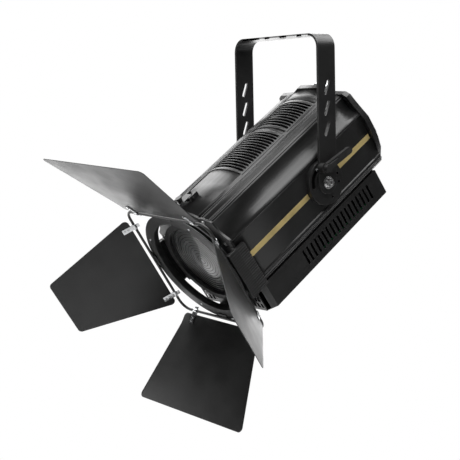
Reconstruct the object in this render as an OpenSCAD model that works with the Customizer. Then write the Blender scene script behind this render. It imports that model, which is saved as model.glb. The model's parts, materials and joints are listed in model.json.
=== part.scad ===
// Theatre Fresnel spotlight with an LED engine, hung in a flat-bar yoke, with four barn doors.
// Frame: origin on the top face of the yoke's bar, at the clamp hole. +Z up, the tilt axis runs
// along X, and the lamp faces -Y. The drawn pose has the head tilted down by head_tilt.

/* [Yoke] */
// Width over the outer faces of the two arms
yoke_w = 234; // [228:1:260]
// Drop from the top face of the bar to the tilt axis
pivot_drop = 260; // [235:1:300]
// Width of the flat bar
bar_w = 40; // [34:1:50]
// Thickness of the flat bar
bar_t = 4; // [3:0.5:4]
// Outside radius of the two bends
bend_r = 25; // [12:1:40]
// Radius of the hole for the hook clamp's bolt
clamp_hole_r = 6.25; // [5:0.25:8]

/* [Head] */
// Downward tilt of the lamp in the drawn pose, in degrees
head_tilt = 34.6; // [0:0.1:60]
// Highest point of the arched top above the tilt axis
arch_top = 103; // [100:1:106]
// Half the width of the housing at its side panels
side_u = 105; // [103:0.5:105.5]
// Length of the housing ahead of the tilt axis
front_len = 218; // [200:1:230]
// Length of the housing behind the tilt axis
rear_len = 140; // [130:1:150]
// Depth of the rear cap
cap_t = 16; // [12:1:24]
// Width of the gold stripe
stripe_w = 10; // [6:1:14]

/* [Optics] */
// Radius of the Fresnel lens
lens_r = 74; // [70:1:76]
// Number of rings in the lens face
lens_rings = 14; // [8:1:20]
// How far the light engine moves each way to focus
focus_travel = 35; // [20:1:35]

/* [Base box] */
// Height of the electronics box
box_h = 51; // [45:1:60]
// Half the width of the electronics box
box_u = 100; // [90:1:102]
// Number of vent slots on each side
vents = 18; // [8:1:19]

/* [Barn doors] */
// Half the side of the square wire frame, to the wire's centre
wire_half = 115.5; // [113:0.5:120]
// Radius of the frame's wire
wire_r = 2.5; // [2:0.1:2.8]
// Turn of the whole barn door about the lamp's axis, in degrees
ring_turn = 3.4; // [-10:0.1:10]
// Length of a wide leaf from its hinge
wide_len = 180; // [140:1:190]
// Length of a narrow leaf from its hinge
narrow_len = 188; // [140:1:200]
// Forward swing of the top leaf from the frame's plane
top_angle = 22.6; // [0:0.1:70]
// Forward swing of the bottom leaf
bottom_angle = 60.5; // [0:0.1:70]
// Forward swing of the left leaf
left_angle = 58; // [0:0.1:70]
// Forward swing of the right leaf
right_angle = 39.4; // [0:0.1:70]

/* [Hidden] */
$fn = 64;
eps = 0.01;
fit = 0.05;            // radial clearance of a running fit
gap = 0.3;             // space between pieces that pass each other
arm_in = yoke_w / 2 - bar_t;
arm_out = yoke_w / 2;

// tilt pivot and its friction disc
pivot_r = 5;
disc_r = 40;
slot_r = 30;           // radius of the disc's arc slot
stud_angle = 120;      // where the clamp stud stands, from +Y towards +Z
stud_r = 4;
tilt_up = 70;          // travel of the head from the drawn pose
tilt_down = 58;
slot_spare = 4;

// housing profile
arch_r = 119;
body_floor = -62;
grille_u = 49.5;
grille_gap = 1;
front_grille_v = [-103, 13];
rear_grille_v = [22, 105];
wall = 3;

// front end, distances along the lamp's axis from the tilt axis
plate_v = -front_len - 4;
wire_v = plate_v - 31.7;
flange_r = 109;
flange_v = plate_v - 18.7;
ring_in = 97;
ring_out = 117;
channel_out = 112.5;
bezel_r = 84;
plate_r = 92;           // round lower edge of the front plate
latch_v = -188;
latch_w = 107.5;
latch_pin_r = 2;

// light engine
engine_v = -85;
rod_u = 72;
rod_r = 4;
screw_u = -52;
screw_w = -44;
screw_r = 4;
bulkhead_v = 60;
cap_v = rear_len + cap_t;

// base box
box_front = -front_len;
box_rear = 114;
box_floor = body_floor - box_h;
sheet = 1.5;
nip = 14;               // front corners of the box, nipped off in plan
vent_pitch = 11;
vent_first = -105;

// leaves
leaf_t = 1.2;
leaf_start = 7;
leaf_corner = 8;
leaf_strip = 20;        // straight root of a wide leaf, before it flares
clip_x = 80;
clip_len = 10;
frame_bend = 20;

// ---------------------------------------------------------------- frames and shapes

module at_pivot() {
    translate([0, 0, -pivot_drop]) children();
}

// x across the lamp, y rearward along its axis, z out of its top
module in_head() {
    at_pivot() rotate([head_tilt, 0, 0]) children();
}

// the barn door's frame: origin on the lamp's axis in the wire's plane
module in_ring() {
    in_head() translate([0, wire_v, 0]) rotate([0, ring_turn, 0]) children();
}

// one leaf: x along its hinge, z out along the leaf, side = 0 top, 90 right, 180 bottom, 270 left
module in_leaf(side, swing) {
    in_ring() rotate([0, side, 0]) translate([0, 0, wire_half]) rotate([swing, 0, 0]) children();
}

module both_sides() {
    children();
    mirror([1, 0, 0]) children();
}

// draws a flat shape in the Y-Z plane and raises it along X from x0 to x1
module plate_x(x0, x1) {
    translate([x0, 0, 0]) rotate([90, 0, 90]) linear_extrude(x1 - x0) children();
}

// draws a flat shape in the X-Z plane and raises it along Y from v0 to v1
module plate_y(v0, v1) {
    translate([0, v1, 0]) rotate([90, 0, 0]) linear_extrude(v1 - v0) children();
}

// a round bar along Y
module bar_y(r, v0, v1) {
    translate([0, v0, 0]) rotate([-90, 0, 0]) cylinder(h = v1 - v0, r = r);
}

// a round bar along X
module bar_x(r, x0, x1) {
    translate([x0, 0, 0]) rotate([0, 90, 0]) cylinder(h = x1 - x0, r = r);
}

module tube_y(r_out, r_in, v0, v1) {
    difference() {
        bar_y(r_out, v0, v1);
        bar_y(r_in, v0 - 1, v1 + 1);
    }
}

// points along an arc
function arc_points(c, r, a0, a1, n = 8) =
    [for (i = [0 : n]) c + r * [cos(a0 + (a1 - a0) * i / n), sin(a0 + (a1 - a0) * i / n)]];

// a slot with round ends between two points
module slot_2d(a, b, w) {
    way = atan2(b[1] - a[1], b[0] - a[0]);
    polygon(concat(arc_points(b, w / 2, way - 90, way + 90), arc_points(a, w / 2, way + 90, way + 270)));
}

// an arc-shaped slot about the origin
module arc_2d(r, w, a0, a1) {
    polygon(concat(
        arc_points([0, 0], r + w / 2, a0, a1, 24),
        arc_points(r * [cos(a1), sin(a1)], w / 2, a1, a1 + 180),
        arc_points([0, 0], r - w / 2, a1, a0, 24),
        arc_points(r * [cos(a0), sin(a0)], w / 2, a0 + 180, a0 + 360)));
}

module rounded_2d(size, r) {
    x = size[0] / 2 - r;
    y = size[1] / 2 - r;
    polygon(concat(
        arc_points([x, y], r, 0, 90), arc_points([-x, y], r, 90, 180),
        arc_points([-x, -y], r, 180, 270), arc_points([x, -y], r, 270, 360)));
}

// pan-head screw with a cross-shaped recess, head towards -Y, seated on y = 0
module pan_screw(r, length) {
    difference() {
        union() {
            bar_y(r * 1.9, -r, 0);
            bar_y(r, -eps, length);
        }
        for (a = [0, 90]) rotate([0, a, 0]) translate([-r, -r - 1, -r / 4]) cube([2 * r, r * 0.6 + 1, r / 2]);
    }
}

// ---------------------------------------------------------------- yoke

module arm_outline() {
    translate([-bar_w / 2, -pivot_drop]) square([bar_w, pivot_drop - bend_r]);
    translate([0, -pivot_drop]) circle(bar_w / 2);
}

// quarter turn of the flat bar between the top and the right arm
module yoke_bend() {
    translate([arm_out - bend_r, bar_w / 2, -bend_r]) rotate([90, 0, 0])
        rotate_extrude(angle = 90) translate([bend_r - bar_t, 0]) square([bar_t, bar_w]);
}

// flat top of the folded bar, with the clamp hole and two smaller holes
module yoke_bar() {
    color([0.06, 0.06, 0.065]) difference() {
        translate([bend_r - arm_out, -bar_w / 2, -bar_t]) cube([2 * (arm_out - bend_r), bar_w, bar_t]);
        translate([0, 0, -bar_t - 1]) cylinder(h = bar_t + 2, r = clamp_hole_r);
        for (x = [-45, 45]) translate([x, 0, -bar_t - 1]) cylinder(h = bar_t + 2, r = 4.5);
    }
}

// the bar's two bends
module yoke_corners() {
    color([0.06, 0.06, 0.065]) both_sides() yoke_bend();
}

// the bar's two arms, each with three slanting slots, the pivot hole and the stud hole
module yoke_arms() {
    slot_pitch = 36;
    slot_len = 21;
    slot_lean = 20;
    color([0.06, 0.06, 0.065]) difference() {
        both_sides() plate_x(arm_in, arm_out) arm_outline();
        at_pivot() {
            bar_x(pivot_r + fit, -arm_out - 1, arm_out + 1);
            both_sides() at_stud() bar_x(stud_r, arm_in - 1, arm_out + 1);
            plate_x(-arm_out - 1, arm_out + 1) for (i = [0 : 2]) {
                mid = [0, 166 - i * slot_pitch];
                reach = slot_len / 2 * [sin(slot_lean), cos(slot_lean)];
                slot_2d(mid - reach, mid + reach, 6);
            }
        }
    }
}

module at_stud() {
    translate([0, slot_r * cos(stud_angle), slot_r * sin(stud_angle)]) children();
}

module lever_studs() {
    color([0.75, 0.76, 0.78]) at_pivot() both_sides() at_stud() {
        bar_x(stud_r, side_u + 3, arm_out + 19);
        bar_x(6.3, side_u + gap, side_u + 3.9);
    }
}

// clamp lever: a hub on the stud with a tapered paddle
module lever() {
    hub_r = 9;
    reach = 60;
    difference() {
        at_stud() {
            bar_x(hub_r, arm_out + gap, arm_out + 13);
            bar_x(7, arm_out + 13 - eps, arm_out + 22);
            rotate([28, 0, 0]) {
                plate_x(arm_out + 9, arm_out + 17)
                    polygon(concat([[-2, -6]], arc_points([reach, 1], 6, -90, 90), [[-2, 7.5]]));
                plate_x(arm_out + 6, arm_out + 20)
                    polygon(concat([[-2, -5]], arc_points([26, 0], 4, -90, 90), [[-2, 5]]));
            }
        }
        at_stud() bar_x(stud_r + fit, arm_out - 1, arm_out + 20);
    }
}

module lever_right() {
    color([0.05, 0.05, 0.055]) at_pivot() lever();
}

module lever_left() {
    color([0.05, 0.05, 0.055]) at_pivot() mirror([1, 0, 0]) lever();
}

// ---------------------------------------------------------------- tilt pivot

module tilt_discs() {
    a0 = stud_angle - tilt_down - slot_spare;
    a1 = stud_angle + tilt_up + slot_spare;
    color([0.05, 0.05, 0.055]) at_pivot() both_sides() difference() {
        plate_x(side_u - 1.8, arm_in - gap) difference() {
            circle(disc_r);
            circle(pivot_r + gap);
            arc_2d(slot_r, 2 * stud_r + 0.8, a0, a1);
            for (a = [-60, 0, 30]) rotate(a) translate([slot_r, 0]) circle(2.2);
        }
        plate_x(side_u - 3, side_u + 4.3) arc_2d(slot_r, 13.6, a0, a1);
    }
}

module pivot_bolts() {
    color([0.55, 0.56, 0.58]) at_pivot() both_sides() difference() {
        union() {
            bar_x(pivot_r, 90, arm_out + 3);
            bar_x(11, arm_out + gap, arm_out + 2.3);
            bar_x(8, arm_out + 2.3 - eps, arm_out + 8);
        }
        translate([arm_out + 4, 0, 0]) rotate([0, 90, 0]) cylinder(h = 10, r = 4.6, $fn = 6);
    }
}

module pivot_nut_plates() {
    color([0.6, 0.6, 0.62]) in_head() both_sides() difference() {
        plate_x(93, side_u - 6) rounded_2d([60, 50], 6);
        bar_x(pivot_r, 80, side_u);
    }
}

// ---------------------------------------------------------------- housing

// half of the extruded profile below the arch, from the floor's centre up the right side
side_profile = [
    [0, body_floor], [92, body_floor], [98, body_floor + 4], [side_u - 1, -46], [side_u, -43],
    [side_u - 1.8, -41], [side_u - 1.8, 43], [side_u, 45], [side_u - 0.6, 48], [102, 50.5], [97, 54.5],
    [91.5, 60], [87, 67], [84, 75], [82, 84], [76, 86.5], [66, 90.5], [53, 92], [0, 92]
];

module arch_2d(r, half) {
    intersection() {
        translate([0, arch_top - arch_r]) circle(r, $fn = 160);
        translate([-half, body_floor]) square([2 * half, 200]);
    }
}

module shell_outline() {
    difference() {
        union() {
            arch_2d(arch_r, 52);
            for (s = [-1, 1]) scale([s, 1]) polygon(side_profile);
        }
        for (s = [-1, 1]) {
            translate([s * 81, 86]) circle(1.8);
            translate([s * 51.5, 93]) circle(2.6);
            for (i = [0 : 3]) translate([s * (58 + 5 * i), 93.1 - 1.5 * i]) circle(1.6);
            for (i = [0 : 2]) translate([s * (104.2 - 2.6 * i), -47.5 - 5 * i]) circle(1.4);
        }
    }
}

module shell_hollow() {
    arch_2d(arch_r - wall, 46);
    for (s = [-1, 1]) scale([s, 1]) polygon([
        [0, body_floor + wall], [90, body_floor + wall], [95, -53], [side_u - 6, -42],
        [side_u - 6, 44], [94, 50], [83, 68], [74, 81], [64, 84.5], [45, 85], [0, 85]]);
}

module housing_shell() {
    color([0.05, 0.05, 0.055]) in_head() difference() {
        plate_y(-front_len, rear_len) difference() {
            shell_outline();
            shell_hollow();
        }
        for (v = [front_grille_v, rear_grille_v])
            translate([-grille_u - grille_gap + 4, v[0] - grille_gap + 4, 80])
                cube([2 * (grille_u + grille_gap - 4), v[1] - v[0] + 2 * grille_gap - 8, 40]);
        bar_x(pivot_r + gap, -side_u - 1, side_u + 1);
    }
}

module gold_stripes() {
    color([0.65, 0.56, 0.32]) in_head() both_sides() difference() {
        translate([side_u - 1.8, -202, -stripe_w / 2]) cube([0.6, 339, stripe_w]);
        bar_x(disc_r + 1, 80, side_u + 2);
    }
}

// louvred insert in the arched top: slots run across the lamp, with a thin rib down the middle
module top_grille(v) {
    slots = round((v[1] - v[0] - 10) / 7.2);
    pitch = (v[1] - v[0] - 10) / slots;
    difference() {
        plate_y(v[0], v[1]) difference() {
            arch_2d(arch_r + 2, grille_u);
            translate([0, arch_top - arch_r]) circle(arch_r, $fn = 160);
        }
        for (i = [0 : slots - 1]) for (u = [5 - grille_u, 1.5])
            translate([u, v[0] + 5 + (i + 0.2) * pitch, 80]) cube([grille_u - 6.5, pitch * 0.6, 40]);
    }
}

module top_grille_front() {
    color([0.04, 0.04, 0.045]) in_head() top_grille(front_grille_v);
}

module top_grille_rear() {
    color([0.04, 0.04, 0.045]) in_head() top_grille(rear_grille_v);
}

front_screw_spots = [[-88, 40], [88, 40], [-78, -54], [78, -54], [-60, 84], [60, 84]];
cap_screw_spots = [[-96, 20], [96, 20], [-80, -50], [80, -50], [-72, 80], [72, 80]];

module housing_screws() {
    color([0.12, 0.12, 0.13]) in_head() {
        for (p = front_screw_spots) translate([p[0], plate_v, p[1]]) pan_screw(2, 3.5);
        for (p = cap_screw_spots) translate([p[0], cap_v, p[1]]) rotate([0, 0, 180]) pan_screw(2, 2.5);
    }
}

// ---------------------------------------------------------------- front end

module front_plate() {
    color([0.05, 0.05, 0.055]) in_head() difference() {
        plate_y(plate_v, -front_len) difference() {
            union() {
                shell_outline();
                circle(plate_r, $fn = 128);
            }
            circle(62, $fn = 128);
        }
        for (p = front_screw_spots) translate([p[0], 0, p[1]]) bar_y(2.2, plate_v - 1, -front_len + 1);
    }
}

module lens_ring() {
    color([0.05, 0.05, 0.055]) in_head() {
        tube_y(bezel_r, lens_r + 0.2, plate_v - 14, plate_v);
        tube_y(lens_r + 1, 70.4, plate_v - 7.5, plate_v - 6);
        for (a = [30, 150, 270]) rotate([0, a, 0]) translate([bezel_r + 1, plate_v - 14, 0]) difference() {
            plate_y(0, 3) rounded_2d([11, 11], 3);
            translate([1.5, 0, 0]) bar_y(1.6, -1, 4);
        }
    }
}

module lens_gasket() {
    color([0.1, 0.1, 0.1]) in_head() tube_y(lens_r, 68, plate_v - 1.5, plate_v);
}

// plano-convex lens cut into rings: each ring slopes, then steps back
module fresnel_lens() {
    back = plate_v - 1.5;
    rim = 4.5;
    rise = 3.8;
    step = (lens_r - 4) / lens_rings;
    teeth = [for (i = [0 : lens_rings - 1]) each [
        [i * step, rim + rise],
        [(i + 1) * step, rim + rise - rise * (i + 1) / lens_rings * 0.9]
    ]];
    color([0.75, 0.82, 0.85, 0.45]) in_head() translate([0, back, 0]) rotate([90, 0, 0])
        rotate_extrude($fn = 96)
            polygon(concat([[0, 0]], teeth, [[lens_r - 4, rim], [lens_r, rim], [lens_r, 0]]));
}

// one straight channel, z out from the lamp's axis: front lip, floor, rear lip and foot
module channel(length, foot_z) {
    lip = 8;
    translate([-length / 2, 0, 0]) {
        translate([0, plate_v - 21.7, channel_out - 1.5]) cube([length, 21.7, 1.5]);
        translate([0, plate_v - 21.7, channel_out - lip]) cube([length, 1.5, lip]);
        translate([0, plate_v - 15.2, channel_out - lip]) cube([length, 1.5, lip]);
        translate([0, plate_v - 1.5, foot_z]) cube([length, 1.5, channel_out - foot_z]);
    }
}

module accessory_channels() {
    color([0.05, 0.05, 0.055]) in_head() {
        both_sides() rotate([0, 90, 0]) translate([13, 0, 0]) channel(92, 88);
        rotate([0, 180, 0]) channel(90, 85);
    }
}

module latch_bracket() {
    color([0.05, 0.05, 0.055]) in_head() difference() {
        union() {
            for (x = [-11, 9]) translate([x, latch_v - 7, arch_top]) cube([2, 20, 9]);
            translate([-11, latch_v - 7, arch_top]) cube([22, 20, 1.2]);
        }
        translate([0, latch_v, latch_w]) bar_x(latch_pin_r + fit, -20, 20);
    }
}

// sprung catch over the top of the accessory flange
module frame_latch() {
    hook_v = plate_v - 21.7;
    color([0.1, 0.1, 0.11]) in_head() {
        translate([-8, hook_v, 110.8]) cube([16, latch_v + 2.4 - hook_v, 1.8]);
        translate([-8, hook_v, 104.5]) cube([16, 1.5, 7]);
        translate([-8, latch_v - 2.4, latch_w]) cube([16, 4.8, 4]);
        translate([0, latch_v, latch_w]) {
            bar_x(latch_pin_r, -14, 14);
            bar_x(2.4, -8, 8);
        }
        translate([0, -207, 112.5]) cylinder(h = 7, r = 4.5);
        translate([0, -207, 119.4]) cylinder(h = 2.2, r = 6);
    }
}

// ---------------------------------------------------------------- light engine

module mid_bulkhead() {
    color([0.6, 0.6, 0.62]) in_head() plate_y(bulkhead_v, bulkhead_v + 3) difference() {
        shell_hollow();
        circle(40);
        for (s = [-1, 1]) translate([s * rod_u, 0]) circle(rod_r);
        translate([screw_u, screw_w]) circle(screw_r + fit);
    }
}

module guide_rods() {
    color([0.75, 0.76, 0.78]) in_head() for (s = [-1, 1]) translate([s * rod_u, 0, 0])
        bar_y(rod_r, -front_len, bulkhead_v + 3);
}

module carriage_plate() {
    color([0.7, 0.7, 0.72]) in_head() difference() {
        plate_y(engine_v, engine_v + 4) difference() {
            rounded_2d([170, 108], 8);
            for (s = [-1, 1]) translate([s * rod_u, 0]) circle(7);
            translate([screw_u, screw_w]) circle(6);
        }
    }
}

module rod_bushes() {
    color([0.72, 0.55, 0.25]) in_head() for (s = [-1, 1]) translate([s * rod_u, 0, 0]) {
        tube_y(7, rod_r + fit, engine_v, engine_v + 18);
        tube_y(10, rod_r + fit, engine_v + 4, engine_v + 7);
    }
}

module lead_nut() {
    color([0.72, 0.55, 0.25]) in_head() translate([screw_u, 0, screw_w]) {
        tube_y(6, screw_r + fit, engine_v, engine_v + 14);
        tube_y(9, screw_r + fit, engine_v - 3, engine_v);
    }
}

module led_module() {
    color([0.85, 0.8, 0.5]) in_head() {
        plate_y(engine_v - 2, engine_v) square([38, 38], center = true);
        bar_y(14, engine_v - 3, engine_v - 2 + eps);
    }
}

// faceted cup in front of the light source
module reflector() {
    color([0.8, 0.8, 0.82]) in_head() translate([0, engine_v, 0]) rotate([90, 0, 0]) rotate_extrude()
        polygon([[28, 0], [30, 0], [34, 12], [40, 26], [44, 40], [42.5, 40], [38.5, 26], [32.5, 12], [28, 2]]);
}

module heat_sink() {
    fins = 15;
    color([0.65, 0.66, 0.68]) in_head() translate([0, engine_v + 4, 0]) {
        plate_y(0, 8) square([112, 74], center = true);
        for (i = [0 : fins - 1]) translate([-56 + i * (112 - 2) / (fins - 1), 8 - eps, -37]) cube([2, 40, 74]);
    }
}

module fan_frame() {
    fan_v = engine_v + 52;
    color([0.08, 0.08, 0.085]) in_head() {
        plate_y(fan_v, fan_v + 25) difference() {
            rounded_2d([92, 92], 5);
            circle(43);
            for (x = [-1, 1], z = [-1, 1]) translate([x * 40, z * 40]) circle(2.2);
        }
        plate_y(fan_v + 22, fan_v + 25) difference() {
            union() {
                circle(14);
                for (a = [45 : 90 : 315]) rotate(a) translate([10, -2]) square([36, 4]);
            }
            circle(2 + fit);
        }
    }
}

module fan_rotor() {
    fan_v = engine_v + 52;
    blades = 7;
    color([0.1, 0.1, 0.105]) in_head() {
        bar_y(17, fan_v + 3, fan_v + 20);
        bar_y(2, fan_v + 10, fan_v + 25);
        for (i = [0 : blades - 1]) rotate([0, i * 360 / blades, 0])
            translate([15, fan_v + 11, 0]) rotate([38, 0, 0]) translate([0, -0.7, -9]) cube([25, 1.4, 18]);
    }
}

module lead_screw() {
    color([0.75, 0.76, 0.78]) in_head() translate([screw_u, 0, screw_w]) bar_y(screw_r, -160, cap_v + 6);
}

module focus_knob() {
    ribs = 20;
    color([0.06, 0.06, 0.065]) in_head() translate([screw_u, 0, screw_w]) difference() {
        bar_y(15, cap_v + 1, cap_v + 19);
        bar_y(screw_r, cap_v, cap_v + 6);
        for (i = [0 : ribs - 1]) rotate([0, i * 360 / ribs, 0]) translate([16, 0, 0]) bar_y(1.8, cap_v + 4, cap_v + 20);
    }
}

// ---------------------------------------------------------------- rear end

// scalloped outline of the cap, from the floor's centre up the right side
cap_profile = [
    [0, -66], [86, -66], [92, -53], [104, -34], [109, -15], [111, 4], [111, 36], [105, 51],
    [98, 70], [94, 84], [86, 90], [52, 91], [26, 106], [0, 106]
];

module cap_outline(inset) {
    for (s = [-1, 1]) scale([s, 1]) polygon([for (p = cap_profile) [max(0, p[0] - (p[0] > 0 ? inset : 0)), p[1] - sign(p[1]) * inset]]);
}

module rear_cap() {
    color([0.05, 0.05, 0.055]) in_head() difference() {
        union() {
            plate_y(rear_len, cap_v - 6) cap_outline(0);
            plate_y(cap_v - 6 - eps, cap_v - 3) cap_outline(2.5);
            plate_y(cap_v - 3 - eps, cap_v) cap_outline(6);
        }
        plate_y(rear_len - 1, cap_v - 3) cap_outline(9);
        translate([0, 0, 36]) bar_y(40, 0, 300);
        plate_y(cap_v - 4, cap_v + 1) translate([26, -36]) square([98, 34], center = true);
        translate([screw_u, 0, screw_w]) bar_y(screw_r + 0.5, 0, 300);
        for (p = cap_screw_spots) translate([p[0], 0, p[1]]) bar_y(2.2, 0, 300);
        for (s = [-1, 1]) translate([s * 20, 0, 91]) bar_y(3, 100, 300);
    }
}

module rear_grille() {
    color([0.04, 0.04, 0.045]) in_head() translate([0, 0, 36]) difference() {
        bar_y(43, cap_v - 5, cap_v - 3);
        for (i = [-3 : 3]) {
            half = sqrt(36 * 36 - 100 * i * i);
            translate([-half, 0, 10 * i - 3]) cube([2 * half, 300, 6]);
        }
    }
}

panel_mid = [26, -36];

module control_panel() {
    color([0.09, 0.09, 0.1]) in_head() translate([panel_mid[0], 0, panel_mid[1]]) difference() {
        plate_y(cap_v - 4.5, cap_v - 3) square([103, 38], center = true);
        translate([-16, 0, 0]) plate_y(0, 300) square([46, 18], center = true);
        for (p = button_spots) translate([p[0], 0, p[1]]) bar_y(3.6, 0, 300);
    }
}

button_spots = [[20, 6], [34, 6], [20, -7], [34, -7]];

module display_window() {
    color([0.1, 0.2, 0.25]) in_head() translate([panel_mid[0] - 16, 0, panel_mid[1]])
        plate_y(cap_v - 7, cap_v - 4.5) square([50, 22], center = true);
}

module button(i) {
    color([0.2, 0.2, 0.21]) in_head()
        translate([panel_mid[0] + button_spots[i][0], 0, panel_mid[1] + button_spots[i][1]]) {
            bar_y(3.2, cap_v - 8, cap_v + 1.5);
            bar_y(4.6, cap_v - 8, cap_v - 6);
        }
}

module menu_button() {
    button(0);
}

module down_button() {
    button(2);
}

module up_button() {
    button(1);
}

module enter_button() {
    button(3);
}

// welded steel eye for the safety bond: bent rod with two legs through the cap
module safety_eye() {
    half = 20;
    bend = 8;
    out = cap_v + 18;
    color([0.75, 0.76, 0.78]) in_head() translate([0, 0, 91]) {
        for (s = [-1, 1]) translate([s * half, 0, 0]) {
            bar_y(3, cap_v - 10, out - bend);
            tube_y(5.5, 3, cap_v - 5, cap_v - 3);
        }
        translate([0, out, 0]) bar_x(3, -half + bend, half - bend);
        for (s = [0, 1]) mirror([s, 0, 0]) translate([half - bend, out - bend, 0])
            rotate_extrude(angle = 90) translate([bend, 0]) circle(3);
    }
}

// ---------------------------------------------------------------- base box

module base_plan(wall_in, front, rear) {
    u = box_u - wall_in;
    lip = box_u - nip - wall_in * 0.41;
    polygon([
        [-u, rear], [-u, box_front + nip + wall_in * 0.41], [-lip - box_front + front, front],
        [lip + box_front - front, front], [u, box_front + nip + wall_in * 0.41], [u, rear]]);
}

module base_box() {
    color([0.05, 0.05, 0.055]) in_head() difference() {
        translate([0, 0, box_floor]) linear_extrude(box_h) base_plan(0, box_front, box_rear);
        translate([0, 0, box_floor + sheet])
            linear_extrude(box_h - sheet - 1.5) base_plan(sheet, box_front - 1, box_rear + 1);
        translate([-box_u + 12, box_front + 20, box_floor + sheet]) cube([2 * (box_u - 12), box_rear - box_front, box_h]);
        for (i = [0 : vents - 1]) translate([0, vent_first + i * vent_pitch, body_floor - 24])
            plate_x(-box_u - 1, box_u + 1) rounded_2d([5, 30], 1);
    }
}

module base_front_grille() {
    h = box_h - 1;
    color([0.05, 0.05, 0.055]) in_head() plate_y(box_front - 2, box_front) difference() {
        translate([nip - box_u, box_floor]) square([2 * (box_u - nip), h]);
        circle(plate_r + 0.5, $fn = 128);
        for (i = [-8 : 8], j = [-1 : 1]) if (abs(i) > 6 || j < 0)
            translate([i * 10, box_floor + h / 2 + j * 14]) rounded_2d([6, 10], 1);
    }
}

inlet_x = [-68, -24];
data_x = [20, 50];
fuse_x = 78;

module base_rear_panel() {
    color([0.07, 0.07, 0.075]) in_head() translate([0, box_rear, box_floor + box_h / 2]) difference() {
        plate_y(0, 2) difference() {
            square([2 * box_u, box_h], center = true);
            for (x = inlet_x) translate([x, 0]) circle(12.2);
            for (x = data_x) translate([x, 0]) circle(10.2);
            translate([fuse_x, 0]) circle(6.2);
        }
    }
}

module power_connectors() {
    color([0.2, 0.3, 0.6]) in_head() translate([0, box_rear, box_floor + box_h / 2]) for (x = inlet_x)
        translate([x, 0, 0]) {
            difference() {
                union() {
                    plate_y(2, 4) rounded_2d([30, 34], 3);
                    bar_y(12, -14, 5);
                }
                tube_y(10, 7, -8, 6);
            }
        }
}

module data_sockets() {
    color([0.6, 0.6, 0.62]) in_head() translate([0, box_rear, box_floor + box_h / 2]) for (i = [0, 1])
        translate([data_x[i], 0, 0]) difference() {
            union() {
                plate_y(2, 4) rounded_2d([25, 30], 2);
                bar_y(10, -14, 5);
            }
            if (i == 0) tube_y(8.5, 6.5, -8, 6);
            else bar_y(8.5, -8, 6);
        }
}

module fuse_holder() {
    color([0.05, 0.05, 0.05]) in_head() translate([fuse_x, box_rear, box_floor + box_h / 2]) difference() {
        union() {
            bar_y(6, -20, 3);
            bar_y(8, 2, 8);
        }
        translate([-6, 6.5, -0.8]) cube([12, 5, 1.6]);
    }
}

module power_supply() {
    color([0.7, 0.71, 0.72]) in_head() translate([-85, -60, box_floor + sheet]) {
        difference() {
            cube([96, 150, 38]);
            for (i = [0 : 9]) translate([14, 14 + 13 * i, 36]) cube([68, 6, 4]);
        }
    }
}

module driver_board() {
    color([0.1, 0.35, 0.2]) in_head() translate([24, -60, box_floor + sheet]) {
        for (x = [5, 61], y = [5, 125]) translate([x, y, 0]) cylinder(h = 6, r = 3);
        translate([0, 0, 6 - eps]) cube([66, 130, 1.6]);
        for (y = [20, 48, 76]) translate([18, y, 7.5]) cylinder(h = 16, r = 7);
        translate([34, 20, 7.5]) cube([22, 24, 14]);
        translate([36, 60, 7.5]) cube([16, 16, 4]);
        translate([10, 106, 7.5]) cube([46, 12, 9]);
    }
}

// ---------------------------------------------------------------- barn door

module barn_door_ring() {
    flange_y = flange_v - wire_v;
    color([0.05, 0.05, 0.055]) in_ring() {
        tube_y(ring_out, ring_in, wire_r, wire_r + 2);
        tube_y(ring_in + 2, ring_in, wire_r + 1, flange_y + 1);
        tube_y(flange_r, ring_in, flange_y, flange_y + 2);
    }
}

module frame_corner() {
    translate([wire_half - frame_bend, 0, wire_half - frame_bend]) rotate([90, 0, 0])
        rotate_extrude(angle = 90) translate([frame_bend, 0]) circle(wire_r, $fn = 32);
}

// square of bent wire with rounded corners and a welding lug at the middle of each side
module wire_frame() {
    run = wire_half - frame_bend;
    color([0.06, 0.06, 0.065]) in_ring() for (side = [0 : 90 : 270]) rotate([0, side, 0]) {
        translate([0, 0, wire_half]) bar_x(wire_r, -run, run);
        frame_corner();
        translate([-12, 0, wire_half - 8]) cube([24, wire_r, 8]);
    }
}

// flat leaf with four round corners; its sides run straight from hinge_half to tip_half
module leaf_plate(hinge_half, tip_half, length, strip) {
    c = leaf_corner;
    lean = atan((tip_half - hinge_half) / (length - leaf_start - strip));
    inset = c * (1 + sin(lean)) / cos(lean);
    root = strip > 0
        ? concat(arc_points([hinge_half - c, leaf_start + c], c, -90, 0), [[hinge_half, leaf_start + strip]])
        : arc_points([hinge_half - c * (1 - sin(lean)) / cos(lean), leaf_start + c], c, -90, -lean);
    right = concat(root, arc_points([tip_half - inset, length - c], c, -lean, 90));
    plate_y(-leaf_t / 2, leaf_t / 2)
        polygon(concat(right, [for (i = [len(right) - 1 : -1 : 0]) [-right[i][0], right[i][1]]]));
}

module wide_leaf() {
    leaf_plate(106, 147, wide_len, leaf_strip);
}

module narrow_leaf() {
    leaf_plate(100, 57, narrow_len, 0);
}

// two hinge clips: a barrel on the wire and a tongue riveted to the leaf
module leaf_clips() {
    for (s = [-1, 1]) translate([s * clip_x, 0, 0]) {
        difference() {
            union() {
                bar_x(wire_r + 1.6, -clip_len / 2, clip_len / 2);
                translate([-clip_len / 2, -leaf_t / 2 - 1.4, 0]) cube([clip_len, 1.4, 24]);
                translate([-clip_len / 2, leaf_t / 2, 0]) cube([clip_len, 1.4, 14]);
                translate([-clip_len / 2, -1, -9]) cube([clip_len, 2, 9]);
            }
            bar_x(wire_r + fit, -clip_len, clip_len);
        }
        for (z = [13, 20]) translate([0, -leaf_t / 2 - 1.4, z]) {
            bar_y(1.9, -0.9, eps);
        }
    }
}

module top_leaf() {
    color([0.06, 0.06, 0.065]) in_leaf(0, top_angle) wide_leaf();
}

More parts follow.
